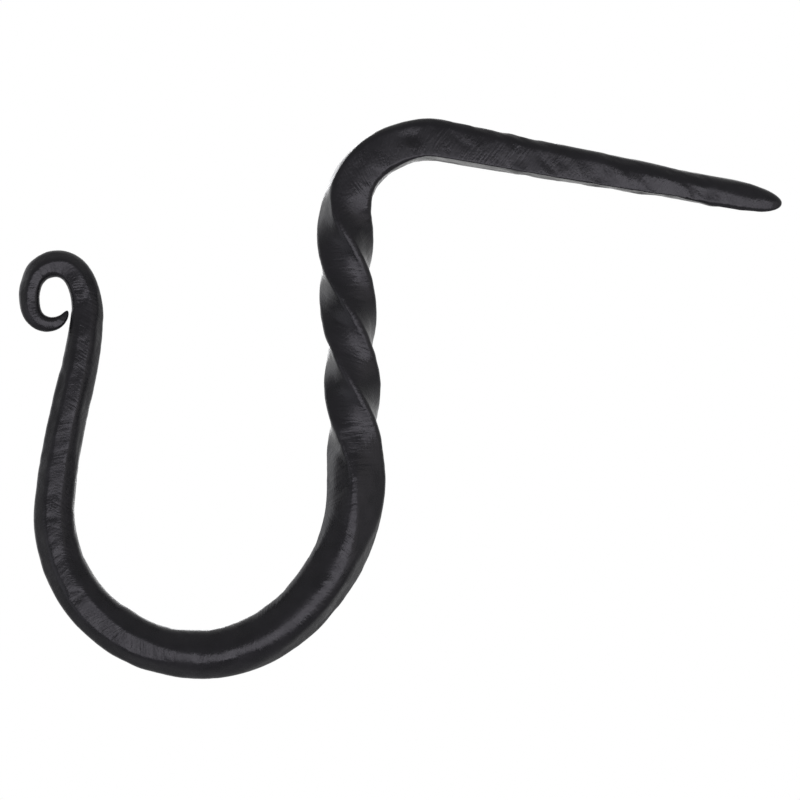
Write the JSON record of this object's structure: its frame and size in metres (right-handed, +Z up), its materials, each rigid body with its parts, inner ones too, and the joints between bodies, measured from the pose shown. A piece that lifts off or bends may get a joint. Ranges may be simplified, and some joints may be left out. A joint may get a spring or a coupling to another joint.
{
  "type": "cup hook",
  "caption": "Forged cup hook with a driven spike, a twisted square shank, a deep round bowl and a scrolled end.",
  "frame": {"origin": "on the bar's centre line at the root of the straight spike, where the bend starts", "axes": "the hook lies in the XZ plane with +Z up as it hangs; the spike points towards +X and slopes down to its tip, the bowl hangs on the -X side, and the front faces -Y"},
  "size_m": [0.1018, 0.0076, 0.0748],
  "materials": {
    "black_iron": "satin black paint over hammered iron"
  },
  "bodies": {
    "root": {"hook": "black_iron"}
  },
  "joints": []
}
